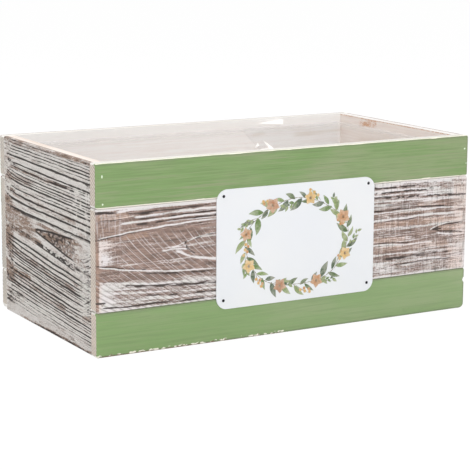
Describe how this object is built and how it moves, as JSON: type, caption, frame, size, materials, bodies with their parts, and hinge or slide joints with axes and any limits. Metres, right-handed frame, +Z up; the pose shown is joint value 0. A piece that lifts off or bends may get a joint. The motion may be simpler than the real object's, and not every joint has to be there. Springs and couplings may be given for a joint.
{
  "type": "indoor herb planter",
  "caption": "Open rectangular box of nailed boards for herb pots, with a folded clear film liner inside and a rounded tin sign tacked across the front.",
  "frame": {"origin": "centre of the footprint, sign and tacks included, on the surface that the box stands on", "axes": "+X along the width towards the viewer's right, front board wall faces -Y, +Z up"},
  "size_m": [0.35, 0.1918, 0.15],
  "materials": {
    "green_paint": "thin brushed green paint on soft wood, rubbed off along the edges",
    "whitewashed_wood": "brown wood washed white, with the wash left in the grain",
    "brushed_wood": "deeply wire-brushed wood with pale ridges and dark grooves",
    "bare_wood": "plain sawn soft wood",
    "clear_film": "thin clear glossy film with folds",
    "sign_enamel": "smooth white enamel on tin with a printed sprig ring",
    "tack_steel": "blackened steel",
    "brad_steel": "plain steel, painted over where the board is painted"
  },
  "bodies": {
    "root": {"front_top_board": "green_paint", "front_middle_board": "whitewashed_wood", "front_bottom_board": "green_paint", "back_top_board": "whitewashed_wood", "back_middle_board": "whitewashed_wood", "back_bottom_board": "whitewashed_wood", "left_side_panel": "brushed_wood", "right_side_panel": "brushed_wood", "floor_board": "bare_wood", "film_liner": "clear_film", "tin_sign": "sign_enamel", "sign_tacks": "tack_steel", "front_top_brads": "brad_steel", "front_middle_brads": "brad_steel", "front_bottom_brads": "brad_steel", "back_top_brads": "brad_steel", "back_middle_brads": "brad_steel", "back_bottom_brads": "brad_steel", "front_floor_brads": "brad_steel", "back_floor_brads": "brad_steel", "left_floor_brads": "brad_steel", "right_floor_brads": "brad_steel"}
  },
  "joints": []
}
